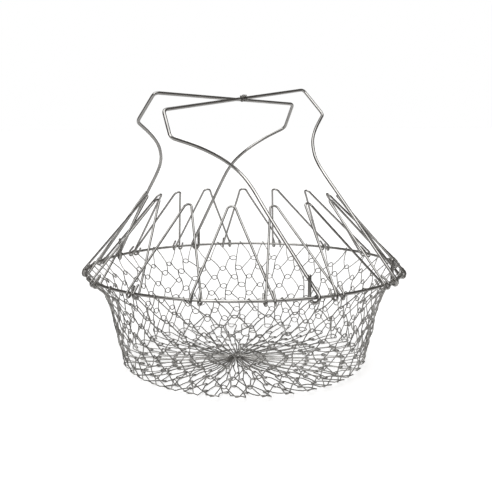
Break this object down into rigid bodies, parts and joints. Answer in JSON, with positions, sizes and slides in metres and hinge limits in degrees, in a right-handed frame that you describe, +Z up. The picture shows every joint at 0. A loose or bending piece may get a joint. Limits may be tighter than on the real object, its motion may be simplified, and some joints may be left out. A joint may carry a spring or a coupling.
{
  "type": "collapsible wire cooking basket",
  "caption": "Round collapsible steel wire basket: hinged loops round a rim, two folding bail handles clipped together, and a linked wire net bag.",
  "frame": {"origin": "on the floor under the centre of the basket, at the centre of the whole basket's footprint", "axes": "+Z up; the front handle is hinged on the -Y side and the rear handle on the +Y side"},
  "size_m": [0.2262, 0.2262, 0.1976],
  "materials": {
    "rim_wire": "polished stainless wire",
    "petal_wire": "polished stainless wire",
    "handle_wire": "polished stainless wire",
    "net_wire": "bright drawn stainless wire",
    "clip_wire": "darker drawn wire"
  },
  "bodies": {
    "frame": {"rim_ring": "rim_wire", "net_side_row_1": "net_wire"},
    "petal_01": {"petal_01": "petal_wire"},
    "petal_02": {"petal_02": "petal_wire"},
    "petal_03": {"petal_03": "petal_wire"},
    "petal_04": {"petal_04": "petal_wire"},
    "petal_05": {"petal_05": "petal_wire"},
    "petal_06": {"petal_06": "petal_wire"},
    "petal_07": {"petal_07": "petal_wire"},
    "petal_08": {"petal_08": "petal_wire"},
    "petal_09": {"petal_09": "petal_wire"},
    "petal_10": {"petal_10": "petal_wire"},
    "petal_11": {"petal_11": "petal_wire"},
    "petal_12": {"petal_12": "petal_wire"},
    "petal_13": {"petal_13": "petal_wire"},
    "petal_14": {"petal_14": "petal_wire"},
    "petal_15": {"petal_15": "petal_wire"},
    "petal_16": {"petal_16": "petal_wire"},
    "handle_front": {"handle_front": "handle_wire"},
    "handle_rear": {"handle_rear": "handle_wire"},
    "handle_clip": {"handle_clip": "clip_wire"},
    "net_row_2": {"net_side_row_2": "net_wire"},
    "net_row_3": {"net_side_row_3": "net_wire"},
    "net_row_4": {"net_side_row_4": "net_wire"},
    "net_row_5": {"net_side_row_5": "net_wire"},
    "net_row_6": {"net_side_row_6": "net_wire"},
    "net_row_7": {"net_side_row_7": "net_wire"},
    "net_row_8": {"net_side_row_8": "net_wire"},
    "net_row_9": {"net_side_row_9": "net_wire"},
    "net_base": {"net_base_row_1": "net_wire", "net_base_row_2": "net_wire", "net_base_row_3": "net_wire", "net_base_row_4": "net_wire", "net_base_row_5": "net_wire", "net_centre_tie": "clip_wire"}
  },
  "joints": [
    {"name": "petal_01_fold", "type": "hinge", "parent": "frame", "child": "petal_01", "pos_m": [0, -0.10922, 0.0695], "axis": [-1, 0, 0], "range_deg": [0, 48]},
    {"name": "petal_02_fold", "type": "hinge", "parent": "frame", "child": "petal_02", "pos_m": [0.04179, -0.1009, 0.0695], "axis": [-0.9239, -0.3827, 0], "range_deg": [0, 48]},
    {"name": "petal_03_fold", "type": "hinge", "parent": "frame", "child": "petal_03", "pos_m": [0.07723, -0.07723, 0.0695], "axis": [-0.7071, -0.7071, 0], "range_deg": [0, 48]},
    {"name": "petal_04_fold", "type": "hinge", "parent": "frame", "child": "petal_04", "pos_m": [0.1009, -0.04179, 0.0695], "axis": [-0.3827, -0.9239, 0], "range_deg": [0, 48]},
    {"name": "petal_05_fold", "type": "hinge", "parent": "frame", "child": "petal_05", "pos_m": [0.10922, 0, 0.0695], "axis": [0, -1, 0], "range_deg": [0, 48]},
    {"name": "petal_06_fold", "type": "hinge", "parent": "frame", "child": "petal_06", "pos_m": [0.1009, 0.04179, 0.0695], "axis": [0.3827, -0.9239, 0], "range_deg": [0, 48]},
    {"name": "petal_07_fold", "type": "hinge", "parent": "frame", "child": "petal_07", "pos_m": [0.07723, 0.07723, 0.0695], "axis": [0.7071, -0.7071, 0], "range_deg": [0, 48]},
    {"name": "petal_08_fold", "type": "hinge", "parent": "frame", "child": "petal_08", "pos_m": [0.04179, 0.1009, 0.0695], "axis": [0.9239, -0.3827, 0], "range_deg": [0, 48]},
    {"name": "petal_09_fold", "type": "hinge", "parent": "frame", "child": "petal_09", "pos_m": [0, 0.10922, 0.0695], "axis": [1, 0, 0], "range_deg": [0, 48]},
    {"name": "petal_10_fold", "type": "hinge", "parent": "frame", "child": "petal_10", "pos_m": [-0.04179, 0.1009, 0.0695], "axis": [0.9239, 0.3827, 0], "range_deg": [0, 48]},
    {"name": "petal_11_fold", "type": "hinge", "parent": "frame", "child": "petal_11", "pos_m": [-0.07723, 0.07723, 0.0695], "axis": [0.7071, 0.7071, 0], "range_deg": [0, 48]},
    {"name": "petal_12_fold", "type": "hinge", "parent": "frame", "child": "petal_12", "pos_m": [-0.1009, 0.04179, 0.0695], "axis": [0.3827, 0.9239, 0], "range_deg": [0, 48]},
    {"name": "petal_13_fold", "type": "hinge", "parent": "frame", "child": "petal_13", "pos_m": [-0.10922, 0, 0.0695], "axis": [0, 1, 0], "range_deg": [0, 48]},
    {"name": "petal_14_fold", "type": "hinge", "parent": "frame", "child": "petal_14", "pos_m": [-0.1009, -0.04179, 0.0695], "axis": [-0.3827, 0.9239, 0], "range_deg": [0, 48]},
    {"name": "petal_15_fold", "type": "hinge", "parent": "frame", "child": "petal_15", "pos_m": [-0.07723, -0.07723, 0.0695], "axis": [-0.7071, 0.7071, 0], "range_deg": [0, 48]},
    {"name": "petal_16_fold", "type": "hinge", "parent": "frame", "child": "petal_16", "pos_m": [-0.04179, -0.1009, 0.0695], "axis": [-0.9239, 0.3827, 0], "range_deg": [0, 48]},
    {"name": "handle_front_swing", "type": "hinge", "parent": "frame", "child": "handle_front", "pos_m": [0, -0.1059, 0.0695], "axis": [1, 0, 0], "range_deg": [0, 152]},
    {"name": "handle_rear_swing", "type": "hinge", "parent": "frame", "child": "handle_rear", "pos_m": [0, 0.1059, 0.0695], "axis": [-1, 0, 0], "range_deg": [0, 152]},
    {"name": "handle_clip_turn", "type": "hinge", "parent": "handle_front", "child": "handle_clip", "pos_m": [-0.00375, -0.0019, 0.18865], "axis": [0.9878, 0.1026, 0.1175], "range_deg": [0, 90]},
    {"name": "net_row_2_lift", "type": "slide", "parent": "frame", "child": "net_row_2", "axis": [0, 0, 1], "range_m": [0, 0.0064]},
    {"name": "net_row_3_lift", "type": "slide", "parent": "net_row_2", "child": "net_row_3", "axis": [0, 0, 1], "range_m": [0, 0.0064]},
    {"name": "net_row_4_lift", "type": "slide", "parent": "net_row_3", "child": "net_row_4", "axis": [0, 0, 1], "range_m": [0, 0.0064]},
    {"name": "net_row_5_lift", "type": "slide", "parent": "net_row_4", "child": "net_row_5", "axis": [0, 0, 1], "range_m": [0, 0.0064]},
    {"name": "net_row_6_lift", "type": "slide", "parent": "net_row_5", "child": "net_row_6", "axis": [0, 0, 1], "range_m": [0, 0.0064]},
    {"name": "net_row_7_lift", "type": "slide", "parent": "net_row_6", "child": "net_row_7", "axis": [0, 0, 1], "range_m": [0, 0.0064]},
    {"name": "net_row_8_lift", "type": "slide", "parent": "net_row_7", "child": "net_row_8", "axis": [0, 0, 1], "range_m": [0, 0.0064]},
    {"name": "net_row_9_lift", "type": "slide", "parent": "net_row_8", "child": "net_row_9", "axis": [0, 0, 1], "range_m": [0, 0.0064]},
    {"name": "net_base_lift", "type": "slide", "parent": "net_row_9", "child": "net_base", "axis": [0, 0, 1], "range_m": [0, 0.0064]}
  ],
  "couplings": [
    {"joint": "petal_02_fold", "follows": "petal_01_fold", "ratio": 1},
    {"joint": "petal_03_fold", "follows": "petal_01_fold", "ratio": 1},
    {"joint": "petal_04_fold", "follows": "petal_01_fold", "ratio": 1},
    {"joint": "petal_05_fold", "follows": "petal_01_fold", "ratio": 1},
    {"joint": "petal_06_fold", "follows": "petal_01_fold", "ratio": 1},
    {"joint": "petal_07_fold", "follows": "petal_01_fold", "ratio": 1},
    {"joint": "petal_08_fold", "follows": "petal_01_fold", "ratio": 1},
    {"joint": "petal_09_fold", "follows": "petal_01_fold", "ratio": 1},
    {"joint": "petal_10_fold", "follows": "petal_01_fold", "ratio": 1},
    {"joint": "petal_11_fold", "follows": "petal_01_fold", "ratio": 1},
    {"joint": "petal_12_fold", "follows": "petal_01_fold", "ratio": 1},
    {"joint": "petal_13_fold", "follows": "petal_01_fold", "ratio": 1},
    {"joint": "petal_14_fold", "follows": "petal_01_fold", "ratio": 1},
    {"joint": "petal_15_fold", "follows": "petal_01_fold", "ratio": 1},
    {"joint": "petal_16_fold", "follows": "petal_01_fold", "ratio": 1},
    {"joint": "net_row_3_lift", "follows": "net_row_2_lift", "ratio": 1},
    {"joint": "net_row_4_lift", "follows": "net_row_2_lift", "ratio": 1},
    {"joint": "net_row_5_lift", "follows": "net_row_2_lift", "ratio": 1},
    {"joint": "net_row_6_lift", "follows": "net_row_2_lift", "ratio": 1},
    {"joint": "net_row_7_lift", "follows": "net_row_2_lift", "ratio": 1},
    {"joint": "net_row_8_lift", "follows": "net_row_2_lift", "ratio": 1},
    {"joint": "net_row_9_lift", "follows": "net_row_2_lift", "ratio": 1},
    {"joint": "net_base_lift", "follows": "net_row_2_lift", "ratio": 1}
  ]
}
